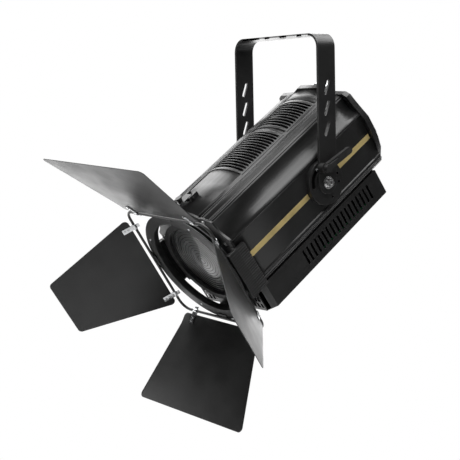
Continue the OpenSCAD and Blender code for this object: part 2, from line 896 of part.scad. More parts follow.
module top_leaf_clips() {
    color([0.75, 0.76, 0.78]) in_leaf(0, top_angle) leaf_clips();
}

module right_leaf() {
    color([0.06, 0.06, 0.065]) in_leaf(90, right_angle) narrow_leaf();
}

module right_leaf_clips() {
    color([0.75, 0.76, 0.78]) in_leaf(90, right_angle) leaf_clips();
}

module bottom_leaf() {
    color([0.06, 0.06, 0.065]) in_leaf(180, bottom_angle) wide_leaf();
}

module bottom_leaf_clips() {
    color([0.75, 0.76, 0.78]) in_leaf(180, bottom_angle) leaf_clips();
}

module left_leaf() {
    color([0.06, 0.06, 0.065]) in_leaf(270, left_angle) narrow_leaf();
}

module left_leaf_clips() {
    color([0.75, 0.76, 0.78]) in_leaf(270, left_angle) leaf_clips();
}

// ---------------------------------------------------------------- drawing

yoke_bar();
yoke_corners();
yoke_arms();
lever_studs();
lever_right();
lever_left();
tilt_discs();
pivot_bolts();
pivot_nut_plates();
housing_shell();
gold_stripes();
top_grille_front();
top_grille_rear();
housing_screws();
front_plate();
lens_ring();
lens_gasket();
fresnel_lens();
accessory_channels();
latch_bracket();
frame_latch();
mid_bulkhead();
guide_rods();
carriage_plate();
rod_bushes();
lead_nut();
led_module();
reflector();
heat_sink();
fan_frame();
fan_rotor();
lead_screw();
focus_knob();
rear_cap();
rear_grille();
control_panel();
display_window();
menu_button();
down_button();
up_button();
enter_button();
safety_eye();
base_box();
base_front_grille();
base_rear_panel();
power_connectors();
data_sockets();
fuse_holder();
power_supply();
driver_board();
barn_door_ring();
wire_frame();
top_leaf();
top_leaf_clips();
right_leaf();
right_leaf_clips();
bottom_leaf();
bottom_leaf_clips();
left_leaf();
left_leaf_clips();
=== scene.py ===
# %% [markdown]
# # A Fresnel theatre spotlight
# This lesson dresses a packed mechanical model in Blender. The frame comes first: every part of
# the lamp is already in place, in metres, with the yoke's clamp hole at the origin and the lamp
# facing -Y.

# %% Load the frame
import bmesh
import bpy
import json
import math
import numpy as np
from mathutils import Matrix, Vector


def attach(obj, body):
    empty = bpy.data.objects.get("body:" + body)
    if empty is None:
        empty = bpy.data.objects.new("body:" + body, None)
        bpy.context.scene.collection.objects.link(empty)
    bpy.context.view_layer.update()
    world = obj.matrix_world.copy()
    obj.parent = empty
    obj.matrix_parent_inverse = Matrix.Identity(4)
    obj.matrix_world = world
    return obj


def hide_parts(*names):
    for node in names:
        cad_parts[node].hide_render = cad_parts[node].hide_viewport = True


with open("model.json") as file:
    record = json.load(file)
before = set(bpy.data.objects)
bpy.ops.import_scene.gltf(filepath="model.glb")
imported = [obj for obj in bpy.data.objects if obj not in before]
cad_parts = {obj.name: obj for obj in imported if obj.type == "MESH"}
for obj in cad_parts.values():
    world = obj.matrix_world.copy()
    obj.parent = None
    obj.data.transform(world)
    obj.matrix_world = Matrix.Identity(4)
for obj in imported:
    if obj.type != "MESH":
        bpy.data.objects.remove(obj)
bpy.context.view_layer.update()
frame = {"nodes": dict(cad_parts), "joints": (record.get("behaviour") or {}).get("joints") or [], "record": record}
nodes = frame["nodes"]
record = frame["record"]
joints = {j["name"]: j for j in frame["joints"]}
body_of = {node: body for body, members in record["behaviour"]["bodies"].items() for node in members}
slot_of = {part["node"]: part["material_slot"] for part in record["subparts"]}

# %% [markdown]
# Most pieces are easiest to draw in the directions of the part they belong to. The head is tilted
# in its yoke, the barn door ring is turned a little in the head, and each leaf is opened by its
# own angle. The frame's joints say where all of these stand: the tilt joint gives the pivot, the
# focus slide runs along the lamp's axis, and every door hinge gives a centre and a direction. A
# leaf can swing 15 degrees behind the ring, so the lower end of its hinge's range tells how far
# open it stands.

# %% Directions of the head, the ring and the leaves
MM = 0.001
SPARE_SWING = math.radians(15.0)


def unit(vector):
    """The vector divided by its own length."""
    return np.asarray(vector, float) / np.linalg.norm(vector)


def in_frame(points, placing):
    """Points in mm as places: origin + x across + y rearward + z up."""
    origin, across, rear, up = placing
    return origin + MM * (np.asarray(points, float) @ np.stack([across, rear, up]))


def leaf_placing(side):
    """Hinge line and directions of one leaf: outwards from the ring, turned forward by its angle."""
    joint = joints[side + "_door_swing"]
    hinge = np.array(joint["pos_m"])
    out = unit(hinge - RING[0])
    opened = math.radians(-joint["range_deg"][0]) - SPARE_SWING
    rear = REAR * math.cos(opened) + out * math.sin(opened)
    along = out * math.cos(opened) - REAR * math.sin(opened)
    return hinge, np.cross(rear, along), rear, along


PIVOT = np.array(joints["head_tilt"]["pos_m"])
ACROSS = np.array([1.0, 0.0, 0.0])
REAR = unit(joints["focus_slide"]["axis"])
HEAD = (PIVOT, ACROSS, REAR, np.cross(ACROSS, REAR))
ring_centre = np.array(joints["ring_turn"]["pos_m"])
ring_up = unit(np.array(joints["top_door_swing"]["pos_m"]) - ring_centre)
RING = (ring_centre, np.cross(REAR, ring_up), REAR, ring_up)
LEAF = {side: leaf_placing(side) for side in ("top", "right", "bottom", "left")}
TILT = math.asin(REAR[2])
print("head tilted", round(math.degrees(TILT), 2), "degrees")

# %% [markdown]
# A finish is a small tree of shader nodes: a noise, a straight line from low to high, a product,
# a mix of two colours and a bump. Each helper adds one of these and returns the socket that the
# next one takes. All noise reads Object coordinates, so nothing slides when a part moves. They
# are turned into the head's directions, so that the noise can be drawn out along the lamp, as the
# lines on an extrusion are.

# %% Helpers for shader nodes
def new_finish(name, **sockets):
    """A new material whose even values are set on the shader's own sockets."""
    material = bpy.data.materials.new(name)
    material.use_nodes = True
    tree = material.node_tree
    shader = tree.nodes["Principled BSDF"]
    for socket, value in sockets.items():
        shader.inputs[socket.replace("_", " ")].default_value = value
    return material, tree, shader


def grain(tree, scale, detail=2.0, stretch=(1.0, 1.0, 1.0)):
    """Noise on Object coordinates turned into the head's directions and drawn out by stretch."""
    place = tree.nodes.new("ShaderNodeTexCoord")
    turn = tree.nodes.new("ShaderNodeMapping")
    noise = tree.nodes.new("ShaderNodeTexNoise")
    turn.vector_type = "TEXTURE"
    turn.inputs["Rotation"].default_value = (TILT, 0.0, 0.0)
    turn.inputs["Scale"].default_value = tuple(1 / s for s in stretch)
    noise.inputs["Scale"].default_value = scale
    noise.inputs["Detail"].default_value = detail
    tree.links.new(place.outputs["Object"], turn.inputs["Vector"])
    tree.links.new(turn.outputs["Vector"], noise.inputs["Vector"])
    return noise.outputs["Fac"]


def spread(tree, source, low, high, start=0.3, end=0.7):
    """Straight line from low to high as the source goes from start to end."""
    span = tree.nodes.new("ShaderNodeMapRange")
    span.inputs["From Min"].default_value = start
    span.inputs["From Max"].default_value = end
    span.inputs["To Min"].default_value = low
    span.inputs["To Max"].default_value = high
    tree.links.new(source, span.inputs["Value"])
    return span.outputs["Result"]


def product(tree, first, second):
    """The two values multiplied."""
    times = tree.nodes.new("ShaderNodeMath")
    times.operation = "MULTIPLY"
    tree.links.new(first, times.inputs[0])
    tree.links.new(second, times.inputs[1])
    return times.outputs["Value"]


def blend_colour(tree, amount, low, high):
    """Mixes two colours by an amount from 0 to 1; either colour may be a socket."""
    mix = tree.nodes.new("ShaderNodeMix")
    mix.data_type = "RGBA"
    tree.links.new(amount, mix.inputs["Factor"])
    for socket, colour in ((mix.inputs["A"], low), (mix.inputs["B"], high)):
        if isinstance(colour, tuple):
            socket.default_value = colour
        else:
            tree.links.new(colour, socket)
    return mix.outputs["Result"]


def bump(tree, shader, height, strength, depth_mm):
    """Tips the surface by a height pattern this deep."""
    node = tree.nodes.new("ShaderNodeBump")
    node.inputs["Strength"].default_value = strength
    node.inputs["Distance"].default_value = depth_mm * MM
    tree.links.new(height, node.inputs["Height"])
    tree.links.new(node.outputs["Normal"], shader.inputs["Normal"])


# %% [markdown]
# Powder coat is a plastic skin baked onto metal. Close up it has a fine orange-peel surface, its
# gloss drifts a little from place to place, and handled edges wear to a paler grey. That paler
# grey along the edges is partly wear and partly a painted highlight, the bright line that light
# draws along an edge. One helper mixes those three things: a small noise for the bump, a broad
# noise for the roughness, and the turn of the surface for the worn and highlit edges. Metals and
# mouldings get a helper each in the same way. The noise scales are in ripples per metre.

# %% Paint, metal and moulding
DUST_PATCHES = 14.0
GLOSS_PATCHES = 26.0
STAINS = 40.0
CHIPS = 160.0
DIE_BANDS = 300.0
BRUSH_LINES = 500.0
DIE_LINES = 700.0
GLOSS_DRIFT = 0.05
TARNISH = 0.75


def worn_and_highlit_edges(tree, radius_mm=1.4, start=0.06, end=0.35):
    """1 along edges (wear and a painted highlight), 0 on open faces, by a rounded normal against the true one,
    with chips.
    """
    rounded_off = tree.nodes.new("ShaderNodeBevel")
    rounded_off.samples = 6
    rounded_off.inputs["Radius"].default_value = radius_mm * MM
    true = tree.nodes.new("ShaderNodeNewGeometry")
    apart = tree.nodes.new("ShaderNodeVectorMath")
    apart.operation = "DISTANCE"
    tree.links.new(rounded_off.outputs["Normal"], apart.inputs[0])
    tree.links.new(true.outputs["Normal"], apart.inputs[1])
    edge = spread(tree, apart.outputs["Value"], 0.0, 1.0, start, end)
    return product(tree, edge, spread(tree, grain(tree, CHIPS, 3.0), 0.5, 1.0, 0.4, 0.62))


def grey(value, warm=0.0):
    """A neutral colour, a touch warmer for a positive second value."""
    return (value * (1 + warm), value, value * (1 - warm), 1.0)


def painted(name, base, roughness, peel=650.0, edge_wear_and_highlight=0.06, streaks=False):
    """Powder coat: orange peel, drifting gloss, worn edges with a painted highlight; streaks add an extrusion's
    lines.
    """
    material, tree, shader = new_finish(name, IOR=1.5)
    dust = spread(tree, grain(tree, DUST_PATCHES, 3.0), 0.0, 1.0, 0.45, 0.75)
    body = blend_colour(tree, dust, grey(base), grey(base * 1.5))
    # edges get a paler grey: partly wear, partly a painted highlight along them
    colour = blend_colour(tree, worn_and_highlit_edges(tree), body, grey(edge_wear_and_highlight))
    tree.links.new(colour, shader.inputs["Base Color"])
    if streaks:
        gloss = grain(tree, DIE_BANDS, 3.0, (1.0, 0.004, 1.0))
        lines = spread(tree, grain(tree, DIE_LINES, 3.0, (1.0, 0.002, 1.0)), 0.0, 1.0)
        bump(tree, shader, lines, 0.45, 0.12)
    else:
        gloss = grain(tree, GLOSS_PATCHES, 4.0)
        bump(tree, shader, grain(tree, peel, 1.0), 0.16, 0.05)
    rough = spread(tree, gloss, roughness - GLOSS_DRIFT, roughness + GLOSS_DRIFT)
    tree.links.new(rough, shader.inputs["Roughness"])
    return material


def bare_metal(name, colour, roughness, brushed=(1.0, 1.0, 1.0), metal=1.0):
    """Metal with faint drawn lines along one direction and a slow change of tone."""
    material, tree, shader = new_finish(name, Metallic=metal)
    stain = spread(tree, grain(tree, STAINS, 3.0), 0.0, 1.0, 0.35, 0.7)
    dull = tuple(c * TARNISH for c in colour[:3]) + (1.0,)
    tree.links.new(blend_colour(tree, stain, colour, dull), shader.inputs["Base Color"])
    lines = grain(tree, BRUSH_LINES, 2.0, brushed)
    tree.links.new(spread(tree, lines, roughness - 0.07, roughness + 0.1), shader.inputs["Roughness"])
    bump(tree, shader, lines, 0.12, 0.03)
    return material


def moulded(name, colour, roughness, texture=900.0):
    """Moulded plastic: an even colour that fades slightly, and a fine spark-eroded texture."""
    material, tree, shader = new_finish(name, IOR=1.47)
    fade = spread(tree, grain(tree, 30.0, 3.0), 0.0, 1.0)
    pale = tuple(min(1.0, c * 1.25 + 0.004) for c in colour[:3]) + (1.0,)
    tree.links.new(blend_colour(tree, fade, colour, pale), shader.inputs["Base Color"])
    rough = spread(tree, grain(tree, 60.0), roughness - 0.05, roughness + 0.06)
    tree.links.new(rough, shader.inputs["Roughness"])
    bump(tree, shader, grain(tree, texture, 1.0), 0.2, 0.03)
    return material


# %% [markdown]
# The record names one slot for every finish on the lamp, so the finishes are made once, by slot.
# The housing is a semi-gloss black on an extrusion, whose die leaves faint lines along the lamp.
# The sheet parts are a satin black, the leaves a dull heat-proof black, and the clips, studs and
# eye are bright zinc.

# %% The finishes
FINISH = {
    "black_paint": painted("black_paint", 0.011, 0.33, edge_wear_and_highlight=0.035, streaks=True),
    "black_satin": painted("black_satin", 0.011, 0.36, edge_wear_and_highlight=0.07),
    "leaf_black": painted("leaf_black", 0.008, 0.4, peel=800.0, edge_wear_and_highlight=0.03),
    "black_plastic": moulded("black_plastic", grey(0.014), 0.42),
    "gold_strip": bare_metal("gold_strip", (0.6, 0.47, 0.2, 1.0), 0.42, (1.0, 0.02, 1.0), metal=0.3),
    "zinc": bare_metal("zinc", grey(0.72, -0.015), 0.24),
    "bolt_steel": bare_metal("bolt_steel", grey(0.68), 0.26),
    "raw_aluminium": bare_metal("raw_aluminium", grey(0.7), 0.3, (1.0, 0.05, 1.0)),
    "bronze": bare_metal("bronze", (0.62, 0.42, 0.2, 1.0), 0.35),
    "connector_metal": bare_metal("connector_metal", grey(0.55), 0.28),
    "supply_metal": bare_metal("supply_metal", grey(0.6), 0.4, (0.05, 1.0, 1.0)),
    "gasket_rubber": moulded("gasket_rubber", grey(0.02), 0.7, 1500.0),
    "led_yellow": moulded("led_yellow", (0.85, 0.62, 0.12, 1.0), 0.5),
    "connector_blue": moulded("connector_blue", (0.03, 0.09, 0.35, 1.0), 0.3),
    "board_green": moulded("board_green", (0.01, 0.1, 0.035, 1.0), 0.35),
    "display": moulded("display", (0.006, 0.012, 0.016, 1.0), 0.1),
}
print(len(FINISH), "finishes so far")

# %% [markdown]
# Pressed lens glass has a faint green-grey cast, and its ripples come from the mould. The back of
# a stage lens is stippled so that its beam has a soft edge, which also hides the works behind it.
# So the glass itself is blurry, and a clear coat stands for the polished rings in front. The
# steep drops between the rings look dark on a real lens, from the way they turn the light aside.
# An attribute of the mesh marks them, and that shade is painted dark into the glass's colour here.

# %% Lens glass
def pressed_glass():
    """Glass with a stippled back that blurs what is behind it, under a clear polished skin."""
    material, tree, shader = new_finish("lens_glass", Transmission_Weight=1.0, IOR=1.5,
                                        Coat_Weight=1.0, Coat_Roughness=0.04)
    painted_riser_shade = tree.nodes.new("ShaderNodeAttribute")
    painted_riser_shade.attribute_name = "painted_riser_shade"
    # the steep drops get painted shade: a near-black colour in the glass
    colour = blend_colour(tree, painted_riser_shade.outputs["Fac"], (0.86, 0.9, 0.87, 1.0), (0.02, 0.02, 0.02, 1.0))
    tree.links.new(colour, shader.inputs["Base Color"])
    tree.links.new(spread(tree, grain(tree, 50.0, 3.0), 0.4, 0.5), shader.inputs["Roughness"])
    bump(tree, shader, grain(tree, 60.0), 0.02, 0.1)
    return material


FINISH["lens_glass"] = pressed_glass()
missing = sorted(set(slot_of.values()) - set(FINISH))
print("every slot has a finish" if not missing else missing)

# %% [markdown]
# A new piece is worked out as grids of points. The helpers below number a grid's cells, join
# grids into one mesh and hand it to its body, its slot and the CAD node that it stands for.
# Normals are recalculated once the doubles are merged, so that every closed piece faces outward.

# %% Helpers for pieces
def cells(rows, cols, close_rows=False, close_cols=False):
    """Corner numbers of every cell of a grid of points, wrapping round where it is closed."""
    r, c = np.meshgrid(np.arange(rows - (not close_rows)), np.arange(cols - (not close_cols)),
                       indexing="ij")
    r2, c2 = (r + 1) % rows, (c + 1) % cols
    corners = [r * cols + c, r * cols + c2, r2 * cols + c2, r2 * cols + c]
    return np.stack(corners, -1).reshape(-1, 4).tolist()


def make_piece(name, sheets, *stands_for, outward=True, sharp=35.0, body=None, slot=None):
    """One object from (places, faces) sheets, riding with the CAD nodes that it stands for."""
    starts = np.cumsum([0] + [len(points) for points, _ in sheets])
    points = np.concatenate([places for places, _ in sheets])
    faces = [[start + corner for corner in face]
             for start, (_, part) in zip(starts, sheets) for face in part]
    mesh = bpy.data.meshes.new(name)
    mesh.from_pydata(points.tolist(), [], faces)
    shape = bmesh.new()
    shape.from_mesh(mesh)
    bmesh.ops.remove_doubles(shape, verts=shape.verts, dist=1e-6)
    if outward:
        bmesh.ops.recalc_face_normals(shape, faces=shape.faces)
    shape.to_mesh(mesh)
    shape.free()
    mesh.shade_smooth()
    mesh.set_sharp_from_angle(angle=math.radians(sharp))
    return dress(bpy.data.objects.new(name, mesh), *stands_for, body=body, slot=slot)


def dress(obj, *stands_for, body=None, slot=None):
    """Gives a finished mesh its finish and its body, and hides the nodes that it replaces."""
    bpy.context.scene.collection.objects.link(obj)
    slot = slot or slot_of[stands_for[0]]
    obj.data.materials.clear()
    obj.data.materials.append(FINISH[slot])
    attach(obj, body or body_of[stands_for[0]])
    if stands_for:
        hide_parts(*stands_for)
    return obj


def count(obj):
    """Prints a piece's name and its number of faces."""
    print(obj.name, len(obj.data.polygons), "faces")


# %% [markdown]
# Four kinds of shape cover almost every new piece of the lamp. A slab is an outline with
# thickness and rolled edges, a lathe turns a profile about an axis, a tube carries a circle along
# a path, and a spline draws a soft curve through a few points. Each works on whole arrays. The
# slab comes first, and the others where they are first needed.

# %% Outlines and slabs
def arc(centre, radius, start, end, steps=12):
    """Points on a circle: centre + radius (cos a, sin a), from start to end degrees."""
    a = np.radians(np.linspace(start, end, steps + 1))
    return np.asarray(centre, float) + radius * np.stack([np.cos(a), np.sin(a)], -1)


def rounded(corners, radii, steps=6):
    """A closed polygon with each corner replaced by an arc that touches both of its edges."""
    p = np.asarray(corners, float)
    radii = np.broadcast_to(radii, len(p))
    back, ahead = np.roll(p, 1, 0) - p, np.roll(p, -1, 0) - p
    back, ahead = (way / np.linalg.norm(way, axis=1)[:, None] for way in (back, ahead))
    half = np.arccos(np.clip((back * ahead).sum(1), -1, 1)) / 2
    cut = (radii / np.tan(half))[:, None]
    middle = p + (back + ahead) / (2 * np.cos(half))[:, None] * (radii / np.sin(half))[:, None]
    first, last = p + back * cut - middle, p + ahead * cut - middle
    t = np.linspace(0, 1, steps + 1)[None, :, None]
    chord = first[:, None] * (1 - t) + last[:, None] * t
    ray = chord / np.linalg.norm(chord, axis=2)[..., None]
    return (middle[:, None] + ray * radii[:, None, None]).reshape(-1, 2)


def right_of(steps):
    """Unit vectors square to a row of flat steps, on their right."""
    lengths = np.maximum(np.linalg.norm(steps, axis=1), 1e-9)
    return np.stack([steps[:, 1], -steps[:, 0]], -1) / lengths[:, None]


def inset(outline, distance):
    """Every point of a closed outline moved inwards, square to the two edges that meet there."""
    side = right_of(np.roll(outline, -1, 0) - outline)
    before = np.roll(side, 1, 0)
    miter = (side + before) / (1 + (side * before).sum(1))[:, None]
    return outline - miter * distance


def slab(outline, near, far, edge, placing, steps=3):
    """An outline in the across-up plane from near to far, its edges rolled by quarter circles."""
    outline = np.asarray(outline, float)
    x, y = outline.T
    if np.sum(x * np.roll(y, -1) - y * np.roll(x, -1)) < 0:
        outline = outline[::-1]
    a = np.radians(np.linspace(0, 90, steps + 1))
    rows = [(edge * (1 - math.sin(t)), near + edge * (1 - math.cos(t))) for t in a]
    rows += [(back, near + far - depth) for back, depth in reversed(rows)]
    rings = [np.insert(inset(outline, back), 1, depth, axis=1) for back, depth in rows]
    n = len(outline)
    faces = cells(len(rows), n, close_cols=True)
    faces += [list(range(n))[::-1], list(range((len(rows) - 1) * n, len(rows) * n))]
    return in_frame(np.concatenate(rings), placing), faces


# %% [markdown]
# Barn door leaves are cut from 1.2 mm steel. A wide leaf starts with a short straight root
# between the clips and then flares; a narrow one tapers. The real blank has its corners nipped
# round and its edges deburred, so the slab gets rounded corners and a thin rolled edge, which is
# what catches the light on a black sheet.

# %% The four leaves
LEAF_T = 1.2
WIDE = [(106, 7), (106, 27), (147, 180), (-147, 180), (-106, 27), (-106, 7)]
NARROW = [(100, 7), (57, 188), (-57, 188), (-100, 7)]
for side in LEAF:
    if side in ("top", "bottom"):
        outline = rounded(WIDE, [8, 30, 8, 8, 30, 8], 10)
    else:
        outline = rounded(NARROW, 8, 10)
    sheet = slab(outline, -LEAF_T / 2, LEAF_T / 2, 0.35, LEAF[side])
    count(make_piece(side + "_door", [sheet], side + "_leaf"))

# %% [markdown]
# Each leaf hangs on the square wire by two zinc clips. A clip is one strip of metal: it runs down
# the front of the leaf, wraps round the wire and comes up behind, and two rivets close it. The
# strip's middle line is drawn first, thickened to both sides, and cut to the clip's width. A
# pinched tail stops the leaf from rattling. The rivets' heads are turned on a lathe, which
# carries a profile round an axis.

# %% The leaf clips
WIRE_R = 2.5
CLIP_X = 80
CLIP_HALF_T = 0.6
CLIP_HALF_W = 5
RIVET_UP = (13, 20)


def moved(placing, across=0.0, rear=0.0, up=0.0):
    """The same directions from an origin moved by mm along them."""
    return (in_frame((across, rear, up), placing),) + tuple(placing[1:])


def lathe(profile, placing, steps, closed=True):
    """(radius, rearward) points turned about the rearward axis: r sin a across, r cos a up."""
    profile = np.asarray(profile, float)
    a = np.linspace(0, 2 * math.pi, steps, endpoint=False)[:, None]
    across, up = profile[:, 0] * np.sin(a), profile[:, 0] * np.cos(a)
    points = np.stack([across, np.broadcast_to(profile[:, 1], across.shape), up], -1)
    return in_frame(points.reshape(-1, 3), placing), cells(steps, len(profile), True, closed)


def clip(placing):
    """A strip along its middle line, thickened each way, with two rivets and a pinched tail."""
    round_wire = arc((0, 0), WIRE_R + 0.75, 113, 427, 20)
    line = np.concatenate([[(-1.27, 24.0), (-1.27, 12.0)], round_wire, [(1.27, 8.0), (1.27, 14.0)]])
    side = CLIP_HALF_T * right_of(np.gradient(line, axis=0))
    strip = np.concatenate([line + side, (line - side)[::-1]])
    origin, across, rear, up = placing
    parts = [slab(strip, -CLIP_HALF_W, CLIP_HALF_W, 0.25, (origin, rear, across, up))]
    tail = rounded([(-4, -8.6), (4, -8.6), (4, -2.6), (-4, -2.6)], 1.2)
    parts.append(slab(tail, -0.9, 0.9, 0.3, placing))
    head = np.concatenate([[(0, -0.9)], arc((0.9, 0.1), 1.0, -90, 0, 5), [(1.9, 0.3), (0, 0.3)]])
    parts += [lathe(head, moved(placing, 0, -1.87, z), 20, closed=False) for z in RIVET_UP]
    return parts


for side in LEAF:
    parts = clip(moved(LEAF[side], CLIP_X)) + clip(moved(LEAF[side], -CLIP_X))
    count(make_piece(side + "_door_clips", parts, side + "_leaf_clips", sharp=40))

# %% [markdown]
# The barn doors hang on a square of 5 mm wire, bent at its corners and welded by small lugs to
# the face of a spun ring. The ring is a spool in section: a broad front face, a short neck and a
# narrower flange that turns in the lamp's channels. Spinning leaves its rims rolled, so the
# section's corners are rounded.

# %% The wire square and the ring
WIRE_HALF = 115.5
BEND = 20.0
LUG = [(-12, 107.5), (12, 107.5), (10, 115.5), (-10, 115.5)]
RIVET_ANGLES = (-62, 28, 118, 208)


def tube(path, radius, placing, sides=16):
    """A circle carried along a closed flat path in the across-up plane, square to it everywhere."""
    path = np.asarray(path, float)
    out = right_of(np.roll(path, -1, 0) - np.roll(path, 1, 0))
    a = np.linspace(0, 2 * math.pi, sides, endpoint=False)
    flat = path[:, None] + radius * np.cos(a)[None, :, None] * out[:, None]
    rear = np.broadcast_to(radius * np.sin(a), flat.shape[:2])
    points = np.stack([flat[..., 0], rear, flat[..., 1]], -1)
    return in_frame(points.reshape(-1, 3), placing), cells(len(path), sides, True, True)


corners = [(s * WIRE_HALF, t * WIRE_HALF) for s, t in ((1, -1), (1, 1), (-1, 1), (-1, -1))]
wire = [tube(rounded(corners, BEND, 12), WIRE_R, RING)]
for turn in range(4):
    a = math.radians(90 * turn)
    across = RING[1] * math.cos(a) - RING[3] * math.sin(a)
    up = RING[1] * math.sin(a) + RING[3] * math.cos(a)
    wire.append(slab(rounded(LUG, 1.5), 0.3, 2.4, 0.4, (RING[0], across, RING[2], up)))
count(make_piece("door_wire", wire, "wire_frame"))

section = [(97, 2.5), (117, 2.5), (117, 4.5), (99, 4.5), (99, 13), (109, 13), (109, 15), (97, 15)]
spool = lathe(rounded(section, [0.9, 0.9, 0.9, 0.5, 0.5, 0.9, 0.9, 0.9], 4), RING, 144)
rivet = np.concatenate([arc((0, 0.4), 2.2, -90, -10, 5) * (1, 0.5), [(2.2, 0.2), (0, 0.2)]])
rivets = []
for angle in RIVET_ANGLES:
    a = math.radians(angle)
    spot = moved(RING, 107 * math.sin(a), 2.5, 107 * math.cos(a))
    rivets.append(lathe(rivet, spot, 20, closed=False))
count(make_piece("door_ring", [spool], "barn_door_ring"))
count(make_piece("door_ring_rivets", rivets, body="barn_door", slot="zinc"))

# %% [markdown]
# A Fresnel lens is a thick lens collapsed into rings: every ring keeps the slope of the full lens
# and a steep riser drops back to the plate. The profile is that saw: along each ring the face
# falls with the square of its distance from the middle, and the tips are very slightly rounded by
# the mould. A real lens has many finer rings. Here they are few, and their fall is made steeper,
# so that they show.

# %% The Fresnel lens
LENS_R = 74.0
PLATE_V = -222.0
PLATE_T = 4.5
RINGS = 12
RING_PITCH = (LENS_R - 4) / RINGS
FALL_MM = 3.8
STEEPER = 2.6
inner = np.arange(RINGS)[:, None] * RING_PITCH
across_ring = np.array([0.04, 0.2, 0.5, 0.82, 0.93])[None, :]
radius = inner + RING_PITCH * across_ring
fall = FALL_MM * (radius / LENS_R) ** 2 - FALL_MM * (inner / LENS_R) ** 2
height = PLATE_T + 3.6 * (1 - 0.4 * inner / LENS_R) - fall * STEEPER
saw = np.stack([radius, -height], -1).reshape(-1, 2)
rim = [(LENS_R - 3.5, -PLATE_T), (LENS_R - 0.6, -PLATE_T), (LENS_R, 0.6 - PLATE_T), (LENS_R, -0.6),
       (LENS_R - 0.6, 0)]
glass = np.concatenate([[(0, 0), (0, saw[0, 1])], saw, rim])
lens = lathe(glass, moved(HEAD, 0, PLATE_V - 1.5, 0), 96, closed=False)
stepped_lens = make_piece("stepped_lens", [lens], "fresnel_lens", sharp=28)
count(stepped_lens)


def paint_riser_shade(mesh):
    """An attribute that is 1 on the steep drops between the rings, for their painted shade, and 0 elsewhere."""
    places = np.empty(len(mesh.vertices) * 3)
    mesh.vertices.foreach_get("co", places)
    from_pivot = (places.reshape(-1, 3) - PIVOT) @ np.stack(HEAD[1:]).T / MM
    out = np.hypot(from_pivot[:, 0], from_pivot[:, 2])
    phase = (out / RING_PITCH) % 1.0
    in_front = (out < LENS_R - 3) & (from_pivot[:, 1] < PLATE_V - 4)
    steep_shade = ((phase < 0.1) | (phase > 0.9)) & in_front
    painted_riser_shade = mesh.attributes.new("painted_riser_shade", "FLOAT", "POINT")
    painted_riser_shade.data.foreach_set("value", steep_shade.astype(float))


# marks where the lens gets its painted shade
paint_riser_shade(stepped_lens.data)

# %% [markdown]
# Folded, turned and moulded parts already have the right shape in the CAD model, but every edge
# there is a knife edge, and real edges never are. A copy of the mesh is merged, its flat faces
# are joined up again, and a small bevel rolls the edges by the amount that the part's process
# leaves: more on a moulding, less on a blank. Where several nodes are one folded bar on the real
# lamp, the hidden faces between them are taken out.

# %% A rolled-edge copy of a CAD shape
def add_modifier(obj, kind, **settings):
    """One modifier with its settings."""
    modifier = obj.modifiers.new(kind.lower(), kind)
    for key, value in settings.items():
        setattr(modifier, key, value)
    return modifier


def round_edges(obj, width_mm, angle=32.0):
    """A small rolled edge wherever two faces meet more sharply than the angle."""
    add_modifier(obj, "BEVEL", width=width_mm * MM, segments=2, limit_method="ANGLE",
                 angle_limit=math.radians(angle), harden_normals=True, use_clamp_overlap=True)


def from_cad(name, *stands_for, edge_mm=0.5, angle=32.0, seams=(), slot=None):
    """A copy of the nodes' meshes: merged, seam faces (axis, mm from zero) out, edges rolled."""
    shape = bmesh.new()
    for node in stands_for:
        shape.from_mesh(nodes[node].data)
    bmesh.ops.remove_doubles(shape, verts=shape.verts, dist=2e-6)
    between = [face for face in shape.faces for axis, place in seams
               if all(abs(abs(corner.co[axis]) - place * MM) < 1e-5 for corner in face.verts)]
    bmesh.ops.delete(shape, geom=between, context="FACES_ONLY")
    bmesh.ops.dissolve_limit(shape, angle_limit=math.radians(0.3), verts=shape.verts,
                             edges=shape.edges)
    mesh = bpy.data.meshes.new(name)
    shape.to_mesh(mesh)
    shape.free()
    mesh.shade_smooth()
    mesh.set_sharp_from_angle(angle=math.radians(angle))
    obj = dress(bpy.data.objects.new(name, mesh), *stands_for, slot=slot)
    if edge_mm:
        round_edges(obj, edge_mm, angle)
    return obj


yoke = from_cad("yoke", "yoke_bar", "yoke_corners", "yoke_arms", edge_mm=0.9,
                seams=((0, 92), (2, 25)))
count(yoke)

# %% [markdown]
# The same copy serves every small part whose CAD shape is already the real one. The list gives
# each one's edge radius in mm: a pressed disc, a cast bezel and a moulded cap are softer than a
# laser-cut plate. The catch is painted like the sheet parts. The bulkhead stands under the rear
# louvres, so instead of its bare aluminium it gets the leaves' black, as painted shade seen
# through them.

# %% Parts with rolled edges
EDGES = {
    "tilt_discs": 1.0, "pivot_bolts": 0.5, "front_plate": 0.7, "lens_ring": 0.8,
    "accessory_channels": 0.45, "latch_bracket": 0.4, "lever_right": 1.3, "lever_left": 1.3,
    "lever_studs": 0.6, "gold_stripes": 0.15, "housing_screws": 0.3, "rear_cap": 1.4,
    "rear_grille": 0.4, "control_panel": 0.8, "display_window": 0.3, "menu_button": 0.6,
    "down_button": 0.6, "up_button": 0.6, "enter_button": 0.6, "focus_knob": 0.9,
    "base_box": 0.8, "base_front_grille": 0.4, "base_rear_panel": 0.4, "power_connectors": 0.4,
    "data_sockets": 0.4, "fuse_holder": 0.4, "safety_eye": 0.0,
}
for node, edge_mm in EDGES.items():
    from_cad(node + "_finished", node, edge_mm=edge_mm)
from_cad("latch", "frame_latch", edge_mm=0.5, slot="black_satin")
# black instead of bare aluminium: painted shade under the louvres
from_cad("bulkhead", "mid_bulkhead", edge_mm=0.3, slot="leaf_black")
print(len(EDGES) + 2, "parts copied with rolled edges")

# %% [markdown]
# An extrusion's outline is one long line, so it is built like one. A spline draws its soft
# curves, evenly spaced points make room for detail, and a groove swaps a few of them for the arc
# of a small circle.

